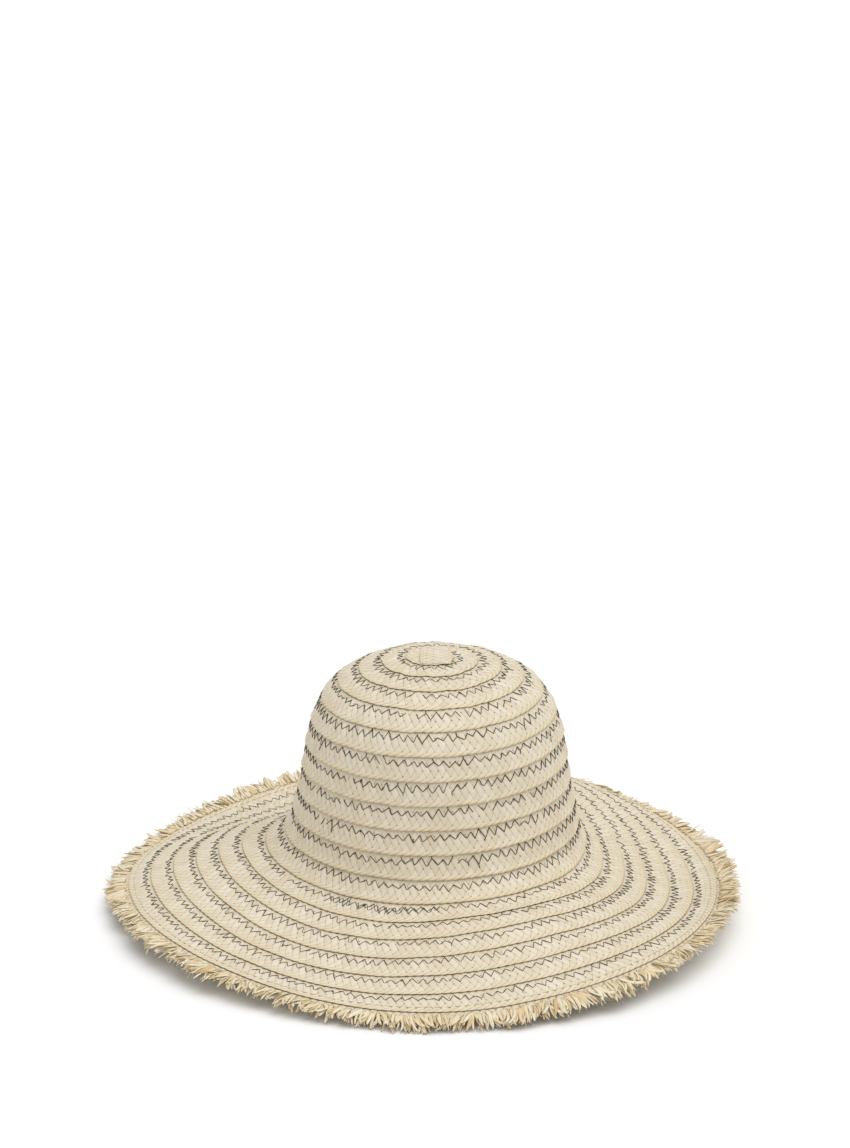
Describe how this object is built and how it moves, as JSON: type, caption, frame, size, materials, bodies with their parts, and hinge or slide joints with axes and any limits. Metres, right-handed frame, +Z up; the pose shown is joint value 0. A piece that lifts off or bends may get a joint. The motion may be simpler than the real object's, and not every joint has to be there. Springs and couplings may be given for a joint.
{
  "type": "straw sun hat",
  "caption": "Wide-brimmed straw sun hat sewn in a spiral from one flat braid, with a domed crown, a wavy brim, dark zigzag seams, a frayed rim and a sweatband inside the crown.",
  "frame": {"origin": "under the middle of the hat's outline, on the floor that the rim rests on", "axes": "+Z up along the crown's axis, -Y to the front, +X to the left of someone wearing the hat"},
  "size_m": [0.4376, 0.4458, 0.1772],
  "materials": {
    "straw_braid": "matt plaited straw",
    "straw_fringe": "matt loose straw ends",
    "dark_thread": "charcoal sewing thread",
    "pale_thread": "straw-coloured sewing thread",
    "sweatband_ribbon": "ribbed cotton ribbon",
    "label_cloth": "plain woven tape"
  },
  "bodies": {
    "root": {"crown_tip_patch": "straw_braid", "crown_braid_row_01": "straw_braid", "crown_braid_row_02": "straw_braid", "crown_braid_row_03": "straw_braid", "crown_braid_row_04": "straw_braid", "crown_braid_row_05": "straw_braid", "crown_braid_row_06": "straw_braid", "crown_braid_row_07": "straw_braid", "crown_braid_row_08": "straw_braid", "crown_braid_row_09": "straw_braid", "crown_braid_row_10": "straw_braid", "crown_braid_row_11": "straw_braid", "brim_braid_row_01": "straw_braid", "brim_braid_row_02": "straw_braid", "brim_braid_row_03": "straw_braid", "brim_braid_row_04": "straw_braid", "brim_braid_row_05": "straw_braid", "brim_braid_row_06": "straw_braid", "brim_braid_row_07": "straw_braid", "crown_zigzag_thread_01": "dark_thread", "crown_zigzag_thread_02": "dark_thread", "crown_zigzag_thread_03": "dark_thread", "crown_zigzag_thread_04": "dark_thread", "crown_zigzag_thread_05": "dark_thread", "crown_zigzag_thread_06": "dark_thread", "crown_zigzag_thread_07": "dark_thread", "crown_zigzag_thread_08": "dark_thread", "crown_zigzag_thread_09": "dark_thread", "crown_zigzag_thread_10": "dark_thread", "brim_zigzag_thread_01": "dark_thread", "brim_zigzag_thread_02": "dark_thread", "brim_zigzag_thread_03": "dark_thread", "brim_zigzag_thread_04": "dark_thread", "brim_zigzag_thread_05": "dark_thread", "brim_zigzag_thread_06": "dark_thread", "brim_zigzag_thread_07": "dark_thread", "fringed_rim_braid": "straw_fringe", "rim_seam_thread": "pale_thread", "sweatband": "sweatband_ribbon", "sweatband_thread": "pale_thread", "blank_label": "label_cloth"}
  },
  "joints": []
}
